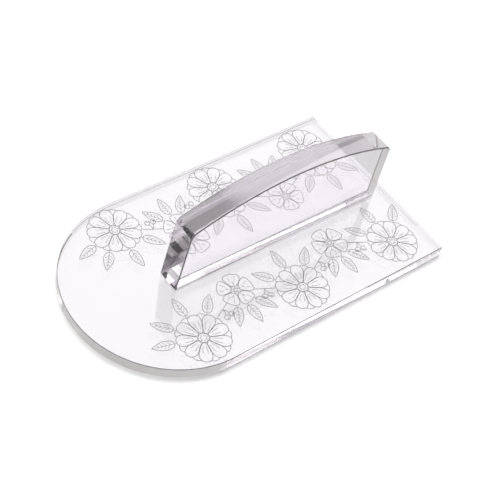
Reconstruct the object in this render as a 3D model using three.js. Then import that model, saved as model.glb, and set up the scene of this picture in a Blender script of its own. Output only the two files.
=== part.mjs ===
// Clear acrylic fondant smoother: a flat base plate with one round end and one straight end,
// and an arched grip bar that stands on edge along it, held by a cured film of clear adhesive.
// Millimetres, +Z up. The origin is the middle of the working face, the plate's underside.
// +X points at the straight end and +Y across the plate.
import * as THREE from "three";

// Base plate, cut from sheet
const PLATE_LENGTH = 150;
const PLATE_WIDTH = 85; // also the diameter of the round end
const PLATE_THICKNESS = 5;
const PLATE_EDGE_BREAK = 0.4; // polished bevel round both faces

// Grip bar, cut from thicker sheet and stood on edge
const HANDLE_THICKNESS = 10;
const HANDLE_FOOT_LENGTH = 102;
const HANDLE_END_HEIGHT = 30; // from the foot to where the leaning end would meet the arch
const HANDLE_CROWN_HEIGHT = 39; // from the foot to the top of the arch
const HANDLE_END_LEAN = 2.6; // how far the -X end leans in up to the arch; the other is upright
const HANDLE_CORNER_CUT = 1.3; // what each top corner loses, along the end and along the arch
const HANDLE_EDGE_BREAK = 0.4; // polished bevel round both faces
const HANDLE_SETBACK = 7.8; // from the plate's straight end to the near end of the foot
const HANDLE_OFFSET = 1.7; // how far the bar stands to the -Y side of the plate's middle line

// Adhesive between the foot and the plate
const BOND_THICKNESS = 0.25;
const BOND_SQUEEZE_OUT = 0.5; // how far the cured bead shows beyond the foot, all round

// Facets
const ARC_SEGMENTS = 32; // half the number of facets of each arc
const BREAK_SEGMENTS = 2; // facets of each polished bevel

const clearAcrylic = new THREE.MeshStandardMaterial({
  color: 0xf6f4fa,
  roughness: 0.03,
  metalness: 0,
  transparent: true,
  opacity: 0.35,
});
const curedAdhesive = new THREE.MeshStandardMaterial({
  color: 0xfbfbfb,
  roughness: 0.15,
  metalness: 0,
  transparent: true,
  opacity: 0.5,
});

// A flat outline given thickness along its own +Z, with its edges broken inside the stated sizes.
function sheetPiece(outline, thickness, edgeBreak) {
  const geometry = new THREE.ExtrudeGeometry(outline, {
    depth: thickness - 2 * edgeBreak,
    curveSegments: ARC_SEGMENTS,
    bevelEnabled: true,
    bevelSize: edgeBreak,
    bevelOffset: -edgeBreak,
    bevelThickness: edgeBreak,
    bevelSegments: BREAK_SEGMENTS,
  });
  return geometry.translate(0, 0, edgeBreak);
}

// Plan of the plate: a rectangle that runs into a half circle at its -X end.
function plateOutline() {
  const radius = PLATE_WIDTH / 2;
  const straightEnd = PLATE_LENGTH / 2;
  const roundCentre = radius - PLATE_LENGTH / 2;
  const outline = new THREE.Shape();
  outline.moveTo(straightEnd, -radius);
  outline.lineTo(straightEnd, radius);
  outline.absarc(roundCentre, 0, radius, Math.PI / 2, (3 * Math.PI) / 2, false);
  return outline;
}

// Side view of the grip bar: a flat foot, an end that leans in, an end that stands upright, and one
// arc over the top, with the two corners between the ends and the arc cut off straight.
function handleOutline() {
  const halfFoot = HANDLE_FOOT_LENGTH / 2;
  const leaningCorner = halfFoot - HANDLE_END_LEAN;
  const rise = HANDLE_CROWN_HEIGHT - HANDLE_END_HEIGHT;
  const archRadius = (leaningCorner ** 2 + rise ** 2) / (2 * rise);
  const archCentre = HANDLE_CROWN_HEIGHT - archRadius;
  const uprightAngle = Math.acos(halfFoot / archRadius);
  const uprightHeight = archCentre + archRadius * Math.sin(uprightAngle);
  const leaningAngle = Math.acos(-leaningCorner / archRadius);
  const leaningLength = Math.hypot(HANDLE_END_LEAN, HANDLE_END_HEIGHT);
  const shareLeft = 1 - HANDLE_CORNER_CUT / leaningLength;
  const cutAngle = HANDLE_CORNER_CUT / archRadius;
  const archStart = uprightAngle + cutAngle;
  const archEnd = leaningAngle - cutAngle;
  const outline = new THREE.Shape();
  outline.moveTo(-halfFoot, 0);
  outline.lineTo(halfFoot, 0);
  outline.lineTo(halfFoot, uprightHeight - HANDLE_CORNER_CUT);
  outline.absarc(0, archCentre, archRadius, archStart, archEnd, false);
  outline.lineTo(shareLeft * HANDLE_END_LEAN - halfFoot, shareLeft * HANDLE_END_HEIGHT);
  return outline;
}

// Plan of the adhesive: the foot's rectangle grown by the squeeze-out, with rounded corners.
function bondOutline() {
  const halfLength = HANDLE_FOOT_LENGTH / 2;
  const halfWidth = HANDLE_THICKNESS / 2;
  const quarter = Math.PI / 2;
  const outline = new THREE.Shape();
  outline.moveTo(-halfLength, -halfWidth - BOND_SQUEEZE_OUT);
  outline.absarc(halfLength, -halfWidth, BOND_SQUEEZE_OUT, -quarter, 0, false);
  outline.absarc(halfLength, halfWidth, BOND_SQUEEZE_OUT, 0, quarter, false);
  outline.absarc(-halfLength, halfWidth, BOND_SQUEEZE_OUT, quarter, 2 * quarter, false);
  outline.absarc(-halfLength, -halfWidth, BOND_SQUEEZE_OUT, 2 * quarter, 3 * quarter, false);
  return outline;
}

function named(name, geometry, material) {
  const mesh = new THREE.Mesh(geometry, material);
  mesh.name = name;
  return mesh;
}

const handleCentre = PLATE_LENGTH / 2 - HANDLE_SETBACK - HANDLE_FOOT_LENGTH / 2;

const basePlate = named(
  "base_plate",
  sheetPiece(plateOutline(), PLATE_THICKNESS, PLATE_EDGE_BREAK),
  clearAcrylic,
);

const adhesiveBond = named(
  "adhesive_bond",
  new THREE.ExtrudeGeometry(bondOutline(), {
    depth: BOND_THICKNESS,
    curveSegments: 3,
    bevelEnabled: false,
  }),
  curedAdhesive,
);
adhesiveBond.position.set(handleCentre, -HANDLE_OFFSET, PLATE_THICKNESS);

// The bar's side view is drawn flat, then tipped up so that its thickness lies along Y.
const tippedUp = new THREE.Matrix4().makeBasis(
  new THREE.Vector3(1, 0, 0),
  new THREE.Vector3(0, 0, 1),
  new THREE.Vector3(0, -1, 0),
);
const gripHandle = named(
  "grip_handle",
  sheetPiece(handleOutline(), HANDLE_THICKNESS, HANDLE_EDGE_BREAK)
    .translate(0, 0, -HANDLE_THICKNESS / 2)
    .applyMatrix4(tippedUp),
  clearAcrylic,
);
gripHandle.position.set(handleCentre, -HANDLE_OFFSET, PLATE_THICKNESS + BOND_THICKNESS);

const fondantSmoother = new THREE.Group();
fondantSmoother.add(basePlate, adhesiveBond, gripHandle);

export default fondantSmoother;
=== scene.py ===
"""Looks of a clear acrylic fondant smoother: plate, arched grip bar, glue line and engraved garlands."""
import math

import bpy
from mathutils import Matrix, Quaternion, Vector
from mathutils.geometry import intersect_line_line_2d, tessellate_polygon


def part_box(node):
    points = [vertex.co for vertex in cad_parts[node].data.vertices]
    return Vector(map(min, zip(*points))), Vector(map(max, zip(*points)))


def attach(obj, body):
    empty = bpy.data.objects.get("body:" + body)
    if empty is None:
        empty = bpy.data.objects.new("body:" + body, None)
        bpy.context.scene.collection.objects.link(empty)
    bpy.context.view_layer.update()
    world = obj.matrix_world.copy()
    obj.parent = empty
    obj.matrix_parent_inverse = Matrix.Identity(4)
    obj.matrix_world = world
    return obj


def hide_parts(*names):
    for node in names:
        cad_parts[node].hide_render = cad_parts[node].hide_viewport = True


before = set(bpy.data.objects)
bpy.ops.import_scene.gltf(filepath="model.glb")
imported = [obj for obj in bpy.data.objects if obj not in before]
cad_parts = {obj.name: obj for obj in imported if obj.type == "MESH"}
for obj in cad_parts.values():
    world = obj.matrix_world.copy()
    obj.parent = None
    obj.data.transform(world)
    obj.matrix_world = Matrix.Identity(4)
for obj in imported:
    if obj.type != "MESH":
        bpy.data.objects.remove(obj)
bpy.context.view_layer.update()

MM = 0.001

# Directions on the part
ALONG = (1.0, 0.0, 0.0)
ACROSS = (0.0, 1.0, 0.0)
UP = Vector((0, 0, 1))

# Sizes that the solids give
plate_low, plate_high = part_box("base_plate")
grip_low, grip_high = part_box("grip_handle")
bond_low, bond_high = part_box("adhesive_bond")
foot_middle = ((grip_low + grip_high) / 2).xy
half_foot = (grip_high.x - grip_low.x) / 2
half_grip = (grip_high.y - grip_low.y) / 2
round_centre = plate_low.x + plate_high.y

# Plate
PLATE_BEVEL = 0.2 * MM
PLATE_BEVEL_SOFTNESS = 0.05 * MM
PLATE_CORNER_ROUND = 0.6 * MM
PLATE_CORNER_STEPS = 5
ROUND_END_STEPS = 120
SCRAPED_PAST_ROUND = 1 * MM  # how far the scraped bevel runs on along the straight sides
SCRAPED_TO = 38 * MM  # in Y, round the round end from the front
RIM_CLEARS_ALONG = (-42 * MM, -33 * MM)  # in X: the satin rim turns clear towards the straight sides
RIM_CLEARS_ACROSS = (5 * MM, 26 * MM)  # in Y: and towards the back

# Grip bar
GRIP_END_HEIGHT = 30 * MM  # of the leaning end
GRIP_END_LEAN = 2.6 * MM
GRIP_CORNER_CUT = 1.3 * MM  # how much of the end and of the arch each top corner loses
GRIP_EDGE_ROUND = 0.4 * MM
GRIP_EDGE_STEPS = 4
GRIP_FOOT_CORNER_ROUND = 0.25 * MM
GRIP_FOOT_CORNER_STEPS = 4
GRIP_TOP_CORNER_ROUND = 1.0 * MM
GRIP_TOP_CORNER_STEPS = 6
ARCH_STEPS = 96
ON_THE_END = 0.001 * MM  # a point this near the upright end lies on it

# Adhesive
FILM_GAP = 0.01 * MM
FILM_INSET = 0.55 * MM  # the film stops this far inside the foot
FILM_CORNER_ROUND = 1.0 * MM
FILM_CORNER_STEPS = 4
FILM_STEP = 1.5 * MM  # between points of its edge
FILM_WANDER = 0.12 * MM
FILM_RUN_ACROSS = 0.7  # what a step across adds to the run of its edge, beside a step along
FILM_WAVES = ((0.6, 0.83, 0.0), (0.4, 2.1, 1.0))  # share, radians for each millimetre of run, start
BEAD_CORNER_ROUND = 0.5 * MM
BEAD_CORNER_STEPS = 6
BEAD_ROUND = 0.1 * MM
BEAD_ROUND_STEPS = 3

# A band along the foot: first tinted dark, which is painted shade for the floor's shadow under the bar, then
# hazy film that set badly
BAND_BACK = 0.1 * MM  # its back edge in Y, at X = 0
BAND_FRONT = -4.9 * MM
BAND_BACK_SLANT = -0.055  # how these edges turn forward along X
BAND_FRONT_SLANT = -0.01
BAND_WANDER = 1.2 * MM
BAND_FADE = 0.3 * MM
FRONT_SHARE = 0.6  # how much of it is left in front of its front edge
PAINTED_SHADE_STARTS = (-25 * MM, -19 * MM)  # in X: from clear to the painted shade
HAZE_STARTS = (0 * MM, 15 * MM)  # in X: from the painted shade to hazy
HAZE_SHARE = 0.75
FAR_END = (53.3 * MM, 53.9 * MM)  # in X: past this the film is tinted a little dark all over, as painted shade
FAR_END_SHADE_SHARE = 0.36

# Engraved garlands: a row of daisies and a row of blossoms along each long side of the plate
GARLAND = {
    "First daisy": -38 * MM,
    "Step": 24 * MM,  # along the plate, from a daisy to the next blossom
    "Daisy row": 29.5 * MM,  # from the plate's middle line
    "Blossom row": 17.5 * MM,
    "Daisy radius": 11 * MM,
    "Blossom radius": 8 * MM,
    "Leaf length": 9 * MM,
    "Berry radius": 1.1 * MM,
    "Line width": 0.25 * MM,
    "Line height": 0.05 * MM,
    "Wobble": 0.9 * MM,
}
LINE_GAP = 0.002 * MM
FINE_LINE = 0.65  # width of veins and dots beside that of outlines
DAISIES = 3
BLOSSOMS = 2
DAISY_PETALS = 9
BLOSSOM_PETALS = 5
LEAF_VEINS = 4

# Colours
ACRYLIC_TINT = (0.985, 0.964, 0.993, 1.0)
SATIN_WHITE = (0.95, 0.93, 0.92, 1.0)
SCRAPED_GREY = (0.36, 0.34, 0.35, 1.0)
SCRAPED_DIRT = (0.22, 0.20, 0.20, 1.0)
FILM_CLEAR = (0.95, 0.935, 0.955, 1.0)
# The film's dark tint is painted shade, standing for the shadow on the floor under the bar
FILM_PAINTED_SHADE = (0.62, 0.60, 0.615, 1.0)
FILM_HAZE = (0.95, 0.91, 0.96, 1.0)
SMEAR_MAUVE = (0.66, 0.62, 0.67, 1.0)
BEAD_WHITE = (0.97, 0.97, 0.98, 1.0)
LINE_DARK = (0.30, 0.26, 0.30, 1.0)
LINE_PALE = (0.44, 0.40, 0.44, 1.0)
WHITE = (1.0, 1.0, 1.0, 1.0)

# Kinds of surface: what the shader needs besides colour and roughness
CLEAR = {"IOR": 1.49, "Transmission Weight": 1.0}
CLEAR_ADHESIVE = {"IOR": 1.48, "Transmission Weight": 1.0}
SATIN = {"IOR": 1.49}
DULL = {"IOR": 1.49, "Transmission Weight": 0.3}

# Camera, as it stood for the photograph: angles in degrees, lens and sensor in millimetres
CAMERA_TARGET = Vector((3.12, -4.51, 5.0)) * MM
CAMERA_YAW = 49.87
CAMERA_PITCH = 48.52
CAMERA_ROLL = 16.0
CAMERA_DISTANCE = 495.52 * MM
CAMERA_LENS = 91.0
CAMERA_SENSOR = 36.0
CAMERA_NEAREST = 10 * MM

# Floor
FLOOR_HALF = 1500 * MM
FLOOR_LEVEL = -0.2 * MM
FLOOR_TONE = (0.9, 0.9, 0.9, 1.0)
FLOOR_LIFT = 0.30  # with the next, takes the open floor to white
FLOOR_LIFT_BEYOND = 0.4
FLOOR_LIFT_REACH = 4 * MM  # from the plate's edge to where the floor is white; nearer the plate the lift is smaller, which is painted contact shade
FLOOR_GLOW = 0.84  # the even white table that shows in the acrylic
FLOOR_GLOW_BESIDE = 0.70  # the same beside the part
FLOOR_GLOW_SHARE = 0.9

# Light: a dark room, a white wall behind the part, and a soft box that the plate mirrors to the camera
ROOM_LEVEL = 0.03
WALL_LEVEL = 1.5
WALL_TOWARDS = Vector((0, 1, 0))
WALL_EDGE = (-0.05, 0.25)
SOFT_BOX_LEVEL = 2.6
SOFT_BOX_TOWARDS = Vector((0.535, 0.403, 0.743)).normalized()
SOFT_BOX_EDGE = (0.90, 0.93)
GLASS_BOUNCES = 32  # how often light may turn inside the acrylic


class Wire:
    """One output of a node. Arithmetic on it adds Math nodes to the same tree."""

    def __init__(self, socket):
        self.socket = socket
        self.tree = socket.id_data

    def output(self, name):
        """Another output of the same node."""
        return Wire(self.socket.node.outputs[name])

    def math(self, operation, *operands):
        return add_node(self.tree, "ShaderNodeMath", {"operation": operation}, dict(enumerate(operands)))

    def __add__(self, other):
        return self.math("ADD", self, other)

    def __radd__(self, other):
        return self.math("ADD", other, self)

    def __sub__(self, other):
        return self.math("SUBTRACT", self, other)

    def __rsub__(self, other):
        return self.math("SUBTRACT", other, self)

    def __mul__(self, other):
        return self.math("MULTIPLY", self, other)

    def __rmul__(self, other):
        return self.math("MULTIPLY", other, self)

    def __pow__(self, other):
        return self.math("POWER", self, other)

    def larger(self, other):
        return self.math("MAXIMUM", self, other)

    def smaller(self, other):
        return self.math("MINIMUM", self, other)

    def dot(self, direction):
        return add_node(self.tree, "ShaderNodeVectorMath", {"operation": "DOT_PRODUCT"},
                        {0: self, 1: direction}).output("Value")

    def above(self, low, high):
        """0 up to low, 1 from high on, and a smooth step between them."""
        return add_node(self.tree, "ShaderNodeMapRange", {"interpolation_type": "SMOOTHSTEP"},
                        {"Value": self, "From Min": low, "From Max": high})


def add_node(tree, kind, settings=None, inputs=None):
    """Adds any node: its settings first, then the values or links of its sockets. Gives its first output."""
    node = tree.nodes.new(kind)
    for name, value in (settings or {}).items():
        setattr(node, name, value)
    for key, value in (inputs or {}).items():
        socket = node.inputs[key]
        if isinstance(value, Wire):
            tree.links.new(value.socket, socket)
        elif isinstance(value, list):
            for wire in value:
                tree.links.new(wire.socket, socket)
        else:
            socket.default_value = value
    return Wire(node.outputs[0]) if node.outputs else None


# What the materials are made of

def part_place(tree):
    """Where a point is on the part, in metres."""
    return add_node(tree, "ShaderNodeTexCoord").output("Object")


def noise(tree, place, scale, detail=2.0):
    return add_node(tree, "ShaderNodeTexNoise", None, {"Vector": place, "Scale": scale, "Detail": detail})


def stretched(tree, place, scale):
    return add_node(tree, "ShaderNodeMapping", None, {"Vector": place, "Scale": scale})


def two_tone(tree, share, first, second):
    """A colour between two, nearer the second where share is high."""
    return add_node(tree, "ShaderNodeMix", {"data_type": "RGBA"},
                    {"Factor": share, 6: first, 7: second}).output(2)


def skin(tree, colour, roughness, kind=None):
    """A plain surface, or one of the kinds at the top."""
    return add_node(tree, "ShaderNodeBsdfPrincipled", None,
                    {"Base Color": colour, "Roughness": roughness, **(kind or {})})


def see_through(tree, colour):
    """Lets light straight on, tinted."""
    return add_node(tree, "ShaderNodeBsdfTransparent", None, {"Color": colour})


def glowing(tree, level):
    return add_node(tree, "ShaderNodeEmission", None, {"Color": WHITE, "Strength": level})


def blend(tree, share, first, second):
    """Two surfaces in one, more of the second where share is high."""
    return add_node(tree, "ShaderNodeMixShader", None, {0: share, 1: first, 2: second})


def material_of(name, surface):
    """A material from a function that draws its surface up in the material's tree."""
    material = bpy.data.materials.new(name)
    material.use_nodes = True
    tree = material.node_tree
    tree.nodes.clear()
    add_node(tree, "ShaderNodeOutputMaterial", None, {"Surface": surface(tree)})
    return material


# Surfaces

def clear_acrylic(tree):
    """Polished faces: clouded a little where hands have rubbed them, with a few hairline scratches."""
    place = part_place(tree)
    rubbed = noise(tree, place, 90.0, 3.0).above(0.5, 0.8)
    hairlines = noise(tree, stretched(tree, place, (0.04, 1.0, 1.0)), 2600.0).above(0.72, 0.76)
    return skin(tree, ACRYLIC_TINT, 0.003 + 0.012 * rubbed + 0.05 * hairlines, CLEAR)


def sawn_end(tree):
    """A cut face left unpolished: satin, with the cutter's fine upright marks, and lit from inside too."""
    marks = noise(tree, stretched(tree, part_place(tree), (1.0, 1.0, 0.05)), 3000.0)
    satin = skin(tree, SATIN_WHITE, 0.32 + 0.2 * marks, SATIN)
    inner_light = add_node(tree, "ShaderNodeBsdfTranslucent", None, {"Color": SATIN_WHITE})
    return blend(tree, 0.45 + 0.2 * marks, satin, inner_light)


def satin_rim(tree):
    """The round end's edge: cut like the bar's end, but polished clear towards its sides and back."""
    place = part_place(tree)
    polished = place.dot(ALONG).above(*RIM_CLEARS_ALONG).larger(place.dot(ACROSS).above(*RIM_CLEARS_ACROSS))
    clear = skin(tree, ACRYLIC_TINT, 0.02 + 0.05 * noise(tree, place, 900.0), CLEAR)
    return blend(tree, polished, sawn_end(tree), clear)


def scraped_edge(tree):
    """The narrow bevels, broken by hand with a scraper: dull, streaked and a little dirty."""
    place = part_place(tree)
    streaks = noise(tree, place, 1800.0, 3.0)
    dirt = noise(tree, place, 160.0).above(0.4, 0.75)
    tone = two_tone(tree, 0.7 * dirt + 0.3 * streaks, SCRAPED_GREY, SCRAPED_DIRT)
    return skin(tree, tone, 0.4 + 0.3 * streaks, DULL)


def wetted_face(tree):
    """Acrylic that the adhesive wets: with no air beside it, light goes straight through."""
    return see_through(tree, WHITE)


def bond_film_and_painted_shade(tree):
    """The film between foot and plate: clear, but for the band along the foot, tinted dark as painted shade
    and then hazy, and for the far end, tinted dark as painted shade.
    """
    place = part_place(tree)
    along = place.dot(ALONG)
    streaks = noise(tree, stretched(tree, place, (0.12, 1.0, 1.0)), 700.0, 3.0)
    drift = BAND_WANDER * (noise(tree, stretched(tree, place, (1.0, 0.2, 0.0)), 260.0) - 0.5)
    behind_front = place.dot((-BAND_FRONT_SLANT, 1.0, 0.0)) - BAND_FRONT
    before_back = BAND_BACK + drift - place.dot((-BAND_BACK_SLANT, 1.0, 0.0))
    front_share = FRONT_SHARE + (1.0 - FRONT_SHARE) * behind_front.above(0.0, BAND_FADE)
    in_shade_and_haze = front_share * before_back.above(0.0, BAND_FADE) * along.above(*PAINTED_SHADE_STARTS)
    far_end = along.above(*FAR_END)
    hazy = HAZE_SHARE * (along.above(*HAZE_STARTS) - far_end)
    haze = skin(tree, FILM_HAZE, 0.6 + 0.2 * streaks)
    # The band: a dark tint that is painted shade, turning into haze
    band = blend(tree, hazy, see_through(tree, FILM_PAINTED_SHADE), haze)
    return blend(tree, in_shade_and_haze.larger(FAR_END_SHADE_SHARE * far_end), see_through(tree, FILM_CLEAR), band)


def smeared_edge(tree):
    """The margin and the rounded edges of the foot, which the squeezed-out adhesive has smeared over."""
    streaks = noise(tree, stretched(tree, part_place(tree), (150.0, 900.0, 900.0)), 1.0)
    return skin(tree, SMEAR_MAUVE, 0.45 + 0.2 * streaks)


def bond_bead(tree):
    """Squeezed-out adhesive, cured clear with a rippled skin."""
    return skin(tree, BEAD_WHITE, 0.05 + 0.15 * noise(tree, part_place(tree), 500.0), CLEAR_ADHESIVE)


def engraved_line(tree):
    """The frosted bottom of an engraved line: mauve grey, with a fine grain."""
    grain = noise(tree, part_place(tree), 2500.0)
    return skin(tree, two_tone(tree, grain, LINE_DARK, LINE_PALE), 0.6 + 0.3 * grain)


def white_table(tree):
    """Takes the part's shadow, shows evenly bright in the acrylic, and goes white away from the plate; within
    a few millimetres of its edge the camera sees less lift, a painted contact shade.
    """
    path = add_node(tree, "ShaderNodeLightPath")
    in_glass = path.output("Is Glossy Ray").larger(path.output("Is Transmission Ray"))
    place = part_place(tree)
    along, across = place.dot(ALONG), place.dot(ACROSS)
    past_centre = (along - round_centre).smaller(0.0)
    from_middle = (past_centre * past_centre + across * across) ** 0.5
    beside = (from_middle - plate_high.y).larger(along - plate_high.x)
    away = beside.above(0.0, FLOOR_LIFT_REACH)
    lit = add_node(tree, "ShaderNodeBsdfDiffuse", None, {"Color": FLOOR_TONE})
    glow = blend(tree, away, glowing(tree, FLOOR_GLOW), glowing(tree, FLOOR_GLOW_BESIDE))
    table = blend(tree, FLOOR_GLOW_SHARE * in_glass, lit, glow)
    # Less lift near the plate's edge: painted contact shade
    lift = blend(tree, away, glowing(tree, FLOOR_LIFT), glowing(tree, FLOOR_LIFT + FLOOR_LIFT_BEYOND))
    lifted = add_node(tree, "ShaderNodeAddShader", None, {0: table, 1: lift})
    return blend(tree, path.output("Is Camera Ray"), table, lifted)


ACRYLIC = material_of("clear_acrylic", clear_acrylic)
RIM = material_of("satin_rim", satin_rim)
SAWN = material_of("sawn_end", sawn_end)
SCRAPED = material_of("scraped_edge", scraped_edge)
WETTED = material_of("wetted_face", wetted_face)
SMEARED = material_of("smeared_edge", smeared_edge)
FILM = material_of("bond_film_and_painted_shade", bond_film_and_painted_shade)
BEAD = material_of("bond_bead", bond_bead)
LINE = material_of("engraved_line", engraved_line)
TABLE = material_of("floor_white", white_table)


# Outlines: lists of (point, outward direction)

def direction(angle):
    return Vector((math.cos(angle), math.sin(angle)))


def arc(centre, radius, start, end, steps):
    """Points on an arc, each with its outward direction. Angles are in degrees."""
    points = []
    for step in range(steps + 1):
        outward = direction(math.radians(start + (end - start) * step / steps))
        points.append((Vector(centre) + radius * outward, outward))
    return points


def plate_outline():
    """Plan of the plate, in X and Y."""
    corner = PLATE_CORNER_ROUND
    end = plate_high.x - corner
    side = plate_high.y - corner
    return (arc((end, -side), corner, -90, 0, PLATE_CORNER_STEPS)
            + arc((end, side), corner, 0, 90, PLATE_CORNER_STEPS)
            + arc((round_centre, 0), plate_high.y, 90, 270, ROUND_END_STEPS))


def meet_circle(start, along, centre, radius):
    """Where a line leaves a circle."""
    offset = start - centre
    half = offset.dot(along)
    return start + along * (math.sqrt(half ** 2 - offset.length_squared + radius ** 2) - half)


def grip_end(lean, arch_centre, arch_radius):
    """The +X end of a bar, from the foot over its cut top corner, and the angle at which the arch goes on."""
    foot_point = Vector((half_foot, 0))
    up_the_end = direction(math.pi / 2 + lean)
    top_corner = meet_circle(foot_point, up_the_end, arch_centre, arch_radius)
    to_corner = top_corner - arch_centre
    corner_angle = math.atan2(to_corner.y, to_corner.x)
    cut_low = top_corner - GRIP_CORNER_CUT * up_the_end
    cut_high = arch_centre + arch_radius * direction(corner_angle + GRIP_CORNER_CUT / arch_radius)
    along_cut = (cut_high - cut_low).normalized()
    cut_angle = math.atan2(along_cut.y, along_cut.x) - math.pi / 2

    foot_round = GRIP_FOOT_CORNER_ROUND
    inside_end = foot_point - foot_round * direction(lean)
    foot_corner = Vector((inside_end.x + (inside_end.y - foot_round) * math.tan(lean), foot_round))
    top_round = GRIP_TOP_CORNER_ROUND
    inside_end = foot_point - top_round * direction(lean)
    inside_cut = cut_low - top_round * direction(cut_angle)
    low_corner = intersect_line_line_2d(inside_end, inside_end + up_the_end,
                                        inside_cut - along_cut, inside_cut + along_cut)
    high_corner = meet_circle(low_corner, along_cut, arch_centre, arch_radius - top_round)
    spoke = high_corner - arch_centre
    end_turn, cut_turn, arch_turn = map(math.degrees, (lean, cut_angle, math.atan2(spoke.y, spoke.x)))
    return (arc(foot_corner, foot_round, -90, end_turn, GRIP_FOOT_CORNER_STEPS)
            + arc(low_corner, top_round, end_turn, cut_turn, GRIP_TOP_CORNER_STEPS)
            + arc(high_corner, top_round, cut_turn, arch_turn, GRIP_TOP_CORNER_STEPS)), arch_turn


def grip_outline():
    """Side view of the grip bar, in X and Z from the middle of its foot: one end upright, one leaning in.
    It starts and ends at the foot, so its closing side is the foot's flat."""
    crown = grip_high.z - grip_low.z
    rise = crown - GRIP_END_HEIGHT
    arch_radius = ((half_foot - GRIP_END_LEAN) ** 2 + rise ** 2) / (2 * rise)
    arch_centre = Vector((0, crown - arch_radius))
    upright, arch_start = grip_end(0.0, arch_centre, arch_radius)
    leaning, arch_end = grip_end(math.atan2(GRIP_END_LEAN, GRIP_END_HEIGHT), arch_centre, arch_radius)
    mirrored = [(Vector((-p.x, p.y)), Vector((-out.x, out.y))) for p, out in reversed(leaning)]
    return upright + arc(arch_centre, arch_radius, arch_start, 180 - arch_end, ARCH_STEPS)[1:-1] + mirrored


def rounded_rectangle(half_length, half_width, corner, steps):
    length = half_length - corner
    width = half_width - corner
    return (arc((length, -width), corner, -90, 0, steps)
            + arc((length, width), corner, 0, 90, steps)
            + arc((-length, width), corner, 90, 180, steps)
            + arc((-length, -width), corner, 180, 270, steps))


def dense(outline, step):
    """The same outline with points added along its straight stretches."""
    points = []
    for k, (point, outward) in enumerate(outline):
        after, after_outward = outline[(k + 1) % len(outline)]
        pieces = max(1, round((after - point).length / step))
        for piece in range(pieces):
            share = piece / pieces
            points.append((point.lerp(after, share), outward.lerp(after_outward, share).normalized()))
    return points


def film_outline():
    """Where the adhesive wets both faces, from the foot's middle: its plan drawn in, with a wandering edge.
    Points only."""
    plan = rounded_rectangle(half_foot - FILM_INSET, half_grip - FILM_INSET,
                             FILM_CORNER_ROUND, FILM_CORNER_STEPS)
    points = []
    for point, outward in dense(plan, FILM_STEP):
        run = (point.x + FILM_RUN_ACROSS * point.y) / MM
        wander = sum(share * math.sin(rate * run + start) for share, rate, start in FILM_WAVES)
        points.append(point + FILM_WANDER * wander * outward)
    return points


# Edges: lists of (inset from the side, depth below the face, turn from the side towards the face)

def rounded_edge(radius, steps):
    turns = [math.radians(90 * step / steps) for step in range(steps + 1)]
    return [(radius * (1 - math.cos(turn)), radius * (1 - math.sin(turn)), turn) for turn in turns]


def bevelled_edge(size, softness):
    """A flat bevel whose two edges are just off sharp."""
    slope = math.radians(45)
    return [(0, size + softness, 0), (softness, size - softness, slope),
            (size - softness, softness, slope), (size + softness, 0, 2 * slope)]


# Meshes

class Body:
    """Vertices with their shading directions, and faces with their materials, on the way to one mesh."""

    def __init__(self):
        self.points = []
        self.normals = []
        self.faces = []
        self.finishes = []

    def add_points(self, points, normals):
        start = len(self.points)
        self.points += points
        self.normals += normals
        return list(range(start, start + len(points)))

    def add_face(self, corners, finish):
        self.faces.append(tuple(corners))
        self.finishes.append(finish)

    def add_side(self, outline, thickness, edge, finish):
        """A slab's side. finish tells a facet's material from its outline point and from whether it is on
        an edge. Gives the vertex numbers of the lower and upper rims."""
        lower = [(inset, depth, -turn) for inset, depth, turn in reversed(edge)]
        upper = [(inset, thickness - depth, turn) for inset, depth, turn in edge]
        rims = []
        for inset, level, turn in lower + upper:
            rims.append(self.add_points(
                [Vector((*(p - inset * out), level)) for p, out in outline],
                [Vector((*(math.cos(turn) * out), math.sin(turn))) for p, out in outline]))
        count = len(outline)
        for ring, (low, high) in enumerate(zip(rims, rims[1:]), 1):
            on_edge = ring != len(edge)
            for k in range(count):
                after = (k + 1) % count
                self.add_face((low[k], low[after], high[after], high[k]), finish(outline[k][0], on_edge))
        return rims[0], rims[-1]

    def add_flat(self, corners, facing, finish):
        """A flat face that looks along facing, whichever way round its corners are given."""
        start, *others = (self.points[n] for n in corners)
        spokes = [p - start for p in others]
        area = sum((a.cross(b) for a, b in zip(spokes, spokes[1:])), Vector())
        self.add_face(corners if area.dot(facing) > 0 else reversed(corners), finish)

    def add_flat_round(self, rim, facing, finish, patch, patch_finish):
        """Closes a rim with flat faces round an inner patch of another finish."""
        inner = self.add_points(patch, [facing] * len(patch))
        numbers = rim + inner
        for corners in tessellate_polygon([[self.points[n] for n in loop] for loop in (rim, inner)]):
            self.add_flat([numbers[k] for k in corners], facing, finish)
        self.add_flat(inner, facing, patch_finish)

    def make(self, name, place):
        """The finished piece. place turns a drawn point into one on the part."""
        mesh = bpy.data.meshes.new(name)
        origin = place(Vector((0, 0, 0)))
        mesh.from_pydata([place(p) for p in self.points], [], self.faces)
        finishes = list(dict.fromkeys(self.finishes))
        for finish in finishes:
            mesh.materials.append(finish)
        mesh.polygons.foreach_set("material_index", [finishes.index(f) for f in self.finishes])
        mesh.shade_smooth()
        mesh.normals_split_custom_set_from_vertices([place(n) - origin for n in self.normals])
        return add_piece(name, mesh)


def add_piece(name, mesh):
    piece = bpy.data.objects.new(name, mesh)
    bpy.context.scene.collection.objects.link(piece)
    return piece


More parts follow.
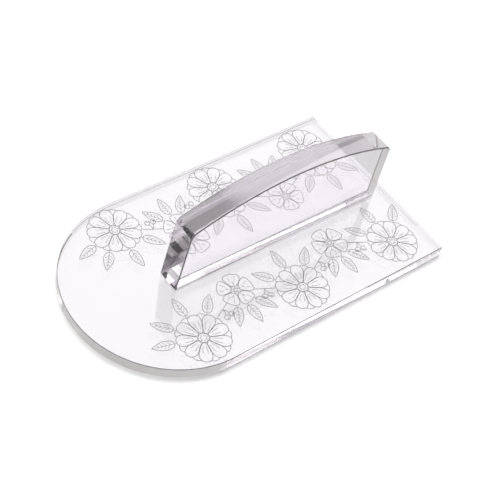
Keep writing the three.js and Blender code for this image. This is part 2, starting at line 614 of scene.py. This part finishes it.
def base_plate():
    def finish(p, on_edge):
        """Only the bevels of the round end, up to its back, are scraped. The others are polished."""
        if on_edge:
            return SCRAPED if p.x < round_centre + SCRAPED_PAST_ROUND and p.y < SCRAPED_TO else ACRYLIC
        return RIM if p.x < round_centre else ACRYLIC

    body = Body()
    thickness = plate_high.z - plate_low.z
    edge = bevelled_edge(PLATE_BEVEL, PLATE_BEVEL_SOFTNESS)
    lower, upper = body.add_side(plate_outline(), thickness, edge, finish)
    film = [Vector((*(foot_middle + p), thickness)) for p in film_outline()]
    body.add_flat(lower, -UP, ACRYLIC)
    body.add_flat_round(upper, UP, ACRYLIC, film, WETTED)
    return body.make("base_plate_clear", lambda p: p + plate_low.z * UP)


def grip_bar():
    """The bar is drawn lying down, its foot along the drawing's lower side, then stood up."""
    upright = half_foot - ON_THE_END

    def finish(p, on_edge):
        if on_edge:
            return SCRAPED if p.y > GRIP_EDGE_ROUND or p.x > upright else SMEARED
        return SAWN if p.x > upright else ACRYLIC

    body = Body()
    outline = grip_outline()
    edge = rounded_edge(GRIP_EDGE_ROUND, GRIP_EDGE_STEPS)
    lower, upper = body.add_side(outline, 2 * half_grip, edge, finish)
    body.add_flat(lower, -UP, ACRYLIC)
    body.add_flat(upper, UP, ACRYLIC)

    # The film's imprint is cut out of the foot's flat, the facet that closes the outline between the edges
    foot = len(edge) * len(outline) - 1
    rim = list(body.faces.pop(foot))
    body.finishes.pop(foot)
    film = [Vector((p.x, 0, half_grip - p.y)) for p in film_outline()]
    body.add_flat_round(rim, Vector((0, -1, 0)), SMEARED, film, WETTED)
    return body.make("grip_bar_clear",
                     lambda p: Vector((foot_middle.x + p.x, grip_high.y - p.z, grip_low.z + p.y)))


def glue_line():
    body = Body()
    half_length, half_width = ((bond_high - bond_low) / 2).xy
    thickness = bond_high.z - bond_low.z - 2 * FILM_GAP
    outline = rounded_rectangle(half_length, half_width, BEAD_CORNER_ROUND, BEAD_CORNER_STEPS)
    edge = rounded_edge(BEAD_ROUND, BEAD_ROUND_STEPS)
    lower, upper = body.add_side(outline, thickness, edge, lambda p, on_edge: BEAD)
    for rim, facing, level in ((lower, -UP, 0), (upper, UP, thickness)):
        body.add_flat_round(rim, facing, BEAD, [Vector((*p, level)) for p in film_outline()], FILM)
    return body.make("glue_line", lambda p: p + Vector((*foot_middle, bond_low.z + FILM_GAP)))


# Engraved garlands

class Sketch:
    """A Geometry Nodes tree with named sizes, and the kinds of line that the garlands are drawn with."""

    def __init__(self, name, sizes):
        self.tree = bpy.data.node_groups.new(name, "GeometryNodeTree")
        self.sizes = {}
        for size, value in sizes.items():
            socket = self.tree.interface.new_socket(size, in_out="INPUT", socket_type="NodeSocketFloat")
            self.sizes[socket.identifier] = value
        self.tree.interface.new_socket("Geometry", in_out="OUTPUT", socket_type="NodeSocketGeometry")
        self.given = self.node("NodeGroupInput")

    def node(self, kind, settings=None, inputs=None):
        return add_node(self.tree, kind, settings, inputs)

    def size(self, name):
        return self.given.output(name)

    def vector(self, x=0.0, y=0.0, z=0.0):
        return self.node("ShaderNodeCombineXYZ", None, {"X": x, "Y": y, "Z": z})

    def vector_math(self, operation, first, second):
        second_socket = "Scale" if operation == "SCALE" else 1
        return self.node("ShaderNodeVectorMath", {"operation": operation}, {0: first, second_socket: second})

    def join(self, *shapes):
        return self.node("GeometryNodeJoinGeometry", None, {"Geometry": list(shapes)})

    def mirrored(self, shape, scale):
        return self.node("GeometryNodeTransform", None, {"Geometry": shape, "Scale": scale})

    def fine(self, *shapes):
        """Marks shapes to be cut with the finer line."""
        return self.node("GeometryNodeStoreNamedAttribute", None, {
            "Geometry": self.join(*shapes), "Name": "fine", "Value": 1.0})

    def line(self, start, end, bow=0.0, points=6):
        """From start to end, bowed to the left by a share of its length."""
        start, end = Vector(start), Vector(end)
        along = end - start
        middle = (start + end) / 2 + bow * Vector((-along.y, along.x))
        return self.node("GeometryNodeCurveQuadraticBezier", None, {
            "Resolution": points, "Start": (*start, 0), "Middle": (*middle, 0), "End": (*end, 0)})

    def circle(self, radius, points=16):
        return self.node("GeometryNodeCurvePrimitiveCircle", None, {"Resolution": points, "Radius": radius})

    def number(self):
        """Which copy it is, from 0."""
        return self.node("GeometryNodeInputIndex")

    def copies(self, shape, count, place=(0, 0, 0), turn=0.0, size=1.0):
        """A shape at count places. Place, turn and size may depend on the copy's number."""
        return self.node("GeometryNodeInstanceOnPoints", None, {
            "Points": self.node("GeometryNodePoints", None, {"Count": count, "Position": place}),
            "Instance": shape,
            "Rotation": self.node("FunctionNodeEulerToRotation", None, {"Euler": self.vector(z=turn)}),
            "Scale": self.vector(size, size, size),
        })

    def ring(self, shape, count, start=0.0):
        """Copies of a shape turned evenly round the middle."""
        return self.copies(shape, count, turn=self.number() * (math.tau / count) + start)

    def spot(self, out, radius):
        return self.copies(self.circle(radius, 8), 1, (out, 0, 0))

    def round_a_petal(self):
        """For the points of a circle: how far each is from base to tip, and how far to the side."""
        place = self.node("ShaderNodeSeparateXYZ", None, {0: self.node("GeometryNodeInputPosition")})
        return 0.5 - 0.5 * place.output("X"), place.output("Y")

    def bent_circle(self, points, x, y):
        return self.node("GeometryNodeSetPosition", None, {
            "Geometry": self.circle(1.0, points), "Position": self.vector(x, y)})

    def petal(self, width, notch):
        """A petal that ends one unit out, with a notch in its tip."""
        along, aside = self.round_a_petal()
        out = 0.2 + 0.8 * along - notch * along.above(0.8, 1.0)
        return self.bent_circle(28, out, width * aside * (0.45 + 0.55 * along))

    def daisy(self):
        """A ring of petals over a second ring that shows only its tips, round a dotted middle."""
        petal = self.petal(0.3, 0.02)
        tip = self.node("GeometryNodeTrimCurve", None, {"Curve": petal, "Start": 0.405, "End": 0.595})
        veins = [self.line((0.34, 0.04 * side), (0.66, 0.09 * side), 0.08 * side) for side in (-1, 1)]
        return self.join(
            self.ring(self.join(petal, self.fine(*veins)), DAISY_PETALS),
            self.ring(tip, DAISY_PETALS, math.pi / DAISY_PETALS),
            self.circle(0.2),
            self.fine(self.ring(self.spot(0.11, 0.026), 7)))

    def blossom(self):
        """Broad notched petals, with a long stamen on each and a short one between."""
        veins = [self.line((0.52, 0.1 * side), (0.78, 0.18 * side), 0.06 * side) for side in (-1, 1)]
        long_stamen = [self.line((0.1, 0), (0.4, 0)), self.spot(0.44, 0.04)]
        short_stamen = [self.line((0.1, 0), (0.3, 0)), self.spot(0.335, 0.035)]
        return self.join(
            self.ring(self.join(self.petal(0.54, 0.07), self.fine(*veins, *long_stamen)), BLOSSOM_PETALS),
            self.ring(self.fine(*short_stamen), BLOSSOM_PETALS, math.pi / BLOSSOM_PETALS),
            self.circle(0.1, 12))

    def leaf(self):
        """A pointed leaf one unit long, with a midrib and pairs of veins."""
        along, aside = self.round_a_petal()
        edge = self.bent_circle(26, along, 0.27 * aside * (1.0 - along) ** 0.4)
        number = self.number()
        vein = self.line((0, 0), (0.24, 0), 0.12, 4)
        sides = [self.copies(vein, LEAF_VEINS, self.vector(0.17 + 0.17 * number), side * math.radians(42),
                             1.0 - 0.16 * number) for side in (-1, 1)]
        return self.join(edge, self.fine(self.line((-0.1, 0), (0.9, 0)), *sides))

    def spray(self, leaf, out, angles):
        """Leaves that show from under a flower, at angles in degrees."""
        leaves = []
        for heading in map(math.radians, angles):
            place = self.vector_math("SCALE", (*direction(heading), 0), out)
            leaves.append(self.copies(leaf, 1, place, heading, self.size("Leaf length")))
        return self.join(*leaves)

    def branch(self, start, end):
        """A stem from a blossom up to a daisy, with two berries."""
        stem = self.node("GeometryNodeCurvePrimitiveLine", None, {"Start": start, "End": end})
        fork = self.vector_math("SCALE", self.vector_math("ADD", start, end), 0.5)
        berry = self.join(self.line((0, 0), (0, 2.4), 0.2),
                          self.copies(self.circle(1.0), 1, (0, 3.4, 0)),
                          self.copies(self.line((-0.5, 0), (0.3, 0.5), 0.35), 1, (0, 3.4, 0)))
        berries = [self.copies(berry, 1, fork, math.radians(turn), self.size("Berry radius"))
                   for turn in (-6, 34)]
        return self.join(stem, *berries)

    def garland(self):
        """One side's flowers, with leaves under them and branches between them."""
        number = self.number()
        step = self.size("Step")
        first = self.size("First daisy")
        daisy_places = self.vector(first + 2 * step * number, self.size("Daisy row"))
        blossom_places = self.vector(first + step + 2 * step * number, self.size("Blossom row"))
        under_daisy = 1.04 * self.size("Daisy radius")
        under_blossom = 1.04 * self.size("Blossom radius")
        to_daisy = self.vector(step, self.size("Daisy row") - self.size("Blossom row"))
        heading = self.node("ShaderNodeVectorMath", {"operation": "NORMALIZE"}, {0: to_daisy})
        branch = self.branch(
            self.vector_math("SCALE", heading, 0.9 * under_blossom),
            self.vector_math("SUBTRACT", to_daisy, self.vector_math("SCALE", heading, 0.97 * under_daisy)))
        leaf = self.leaf()
        return self.join(
            self.copies(self.daisy(), DAISIES, daisy_places, 0.9 * number, self.size("Daisy radius")),
            self.copies(self.spray(leaf, under_daisy, (-48, -90, -132)), DAISIES, daisy_places),
            self.copies(self.spray(leaf, under_daisy, (196,)), 1, daisy_places),
            self.copies(self.blossom(), BLOSSOMS, blossom_places, 0.7 * number, self.size("Blossom radius")),
            self.copies(self.spray(leaf, under_blossom, (58, 90, 122)), BLOSSOMS, blossom_places),
            self.copies(self.join(branch, self.mirrored(branch, (-1, 1, 1))), BLOSSOMS, blossom_places))

    def cut(self, shape, material):
        """Ends the tree: every line of a shape, a little unsteady, becomes a flat strip."""
        drawn = self.node("GeometryNodeRealizeInstances", None, {"Geometry": shape})
        unsteady = self.node("ShaderNodeTexNoise", None, {
            "Vector": self.node("GeometryNodeInputPosition"), "Scale": 110.0, "Detail": 1.0}).output("Color")
        drift = self.vector_math("SUBTRACT", unsteady, (0.5, 0.5, 0.5))
        drift = self.vector_math("MULTIPLY", drift, (1, 1, 0))
        drawn = self.node("GeometryNodeSetPosition", None, {
            "Geometry": drawn, "Offset": self.vector_math("SCALE", drift, self.size("Wobble"))})
        fine = self.node("GeometryNodeInputNamedAttribute", {"data_type": "FLOAT"}, {"Name": "fine"})
        strips = self.node("GeometryNodeCurveToMesh", None, {
            "Curve": drawn,
            "Profile Curve": self.node("GeometryNodeCurvePrimitiveQuadrilateral", None, {
                "Width": self.size("Line width"), "Height": self.size("Line height")}),
            "Scale": 1.0 - (1.0 - FINE_LINE) * fine,
            "Fill Caps": True,
        })
        strips = self.node("GeometryNodeSetMaterial", None, {"Geometry": strips, "Material": material})
        self.node("NodeGroupOutput", None, {"Geometry": strips})

    def make(self, name, level):
        """The finished piece, lifted to a level."""
        piece = add_piece(name, bpy.data.meshes.new(name))
        lines = piece.modifiers.new(name, "NODES")
        lines.node_group = self.tree
        for key, value in self.sizes.items():
            lines[key] = value
        drawn = bpy.data.meshes.new_from_object(piece.evaluated_get(bpy.context.evaluated_depsgraph_get()))
        piece.modifiers.remove(lines)
        piece.data = drawn
        drawn.transform(Matrix.Translation((0, 0, level)))
        return piece


def engraved_garlands():
    sketch = Sketch("garlands", GARLAND)
    side = sketch.garland()
    sketch.cut(sketch.join(side, sketch.mirrored(side, (1, -1, 1))), LINE)
    return sketch.make("engraved_garlands", plate_high.z + GARLAND["Line height"] / 2 + LINE_GAP)


# Stage

def add_camera():
    yaw = math.radians(CAMERA_YAW)
    pitch = math.radians(CAMERA_PITCH)
    forward = Vector((math.sin(yaw) * math.cos(pitch), math.cos(yaw) * math.cos(pitch), -math.sin(pitch)))
    camera = bpy.data.objects.new("camera", bpy.data.cameras.new("camera"))
    camera.data.lens = CAMERA_LENS
    camera.data.sensor_width = CAMERA_SENSOR
    camera.data.clip_start = CAMERA_NEAREST
    camera.location = CAMERA_TARGET - CAMERA_DISTANCE * forward
    camera.rotation_mode = "QUATERNION"
    camera.rotation_quaternion = (forward.to_track_quat("-Z", "Y")
                                  @ Quaternion((0, 0, 1), math.radians(CAMERA_ROLL)))
    bpy.context.scene.collection.objects.link(camera)
    bpy.context.scene.camera = camera


def add_floor():
    mesh = bpy.data.meshes.new("floor")
    corners = ((-1, -1), (1, -1), (1, 1), (-1, 1))
    mesh.from_pydata([(FLOOR_HALF * x, FLOOR_HALF * y, FLOOR_LEVEL) for x, y in corners], [], [(0, 1, 2, 3)])
    mesh.materials.append(TABLE)
    floor = add_piece("floor", mesh)


def add_light():
    """The part stands before a white wall in a dark room, under a soft box that is behind it on the right."""
    world = bpy.data.worlds.new("studio")
    world.use_nodes = True
    tree = world.node_tree
    tree.nodes.clear()
    towards = add_node(tree, "ShaderNodeTexCoord").output("Generated")
    wall = towards.dot(WALL_TOWARDS).above(*WALL_EDGE)
    soft_box = towards.dot(SOFT_BOX_TOWARDS).above(*SOFT_BOX_EDGE)
    room = add_node(tree, "ShaderNodeBackground", None, {
        "Color": WHITE,
        "Strength": ROOM_LEVEL + (WALL_LEVEL - ROOM_LEVEL) * wall + (SOFT_BOX_LEVEL - WALL_LEVEL) * soft_box,
    })
    seen = add_node(tree, "ShaderNodeBackground", None, {"Color": WHITE, "Strength": 1.0})
    camera_ray = add_node(tree, "ShaderNodeLightPath").output("Is Camera Ray")
    add_node(tree, "ShaderNodeOutputWorld", None, {"Surface": blend(tree, camera_ray, room, seen)})
    bpy.context.scene.world = world


add_camera()
add_floor()
add_light()

plate = base_plate()
grip = grip_bar()
glue = glue_line()
for piece, node, slot in ((plate, "base_plate", "acrylic"), (grip, "grip_handle", "acrylic"),
                          (glue, "adhesive_bond", "adhesive")):
    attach(piece, "root")
    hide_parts(node)
garlands = engraved_garlands()
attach(garlands, "root")

scene = bpy.context.scene
scene.view_settings.view_transform = "Standard"
scene.cycles.max_bounces = GLASS_BOUNCES
scene.cycles.glossy_bounces = GLASS_BOUNCES
scene.cycles.transmission_bounces = GLASS_BOUNCES
scene.cycles.transparent_max_bounces = GLASS_BOUNCES
scene.cycles.blur_glossy = 0.0
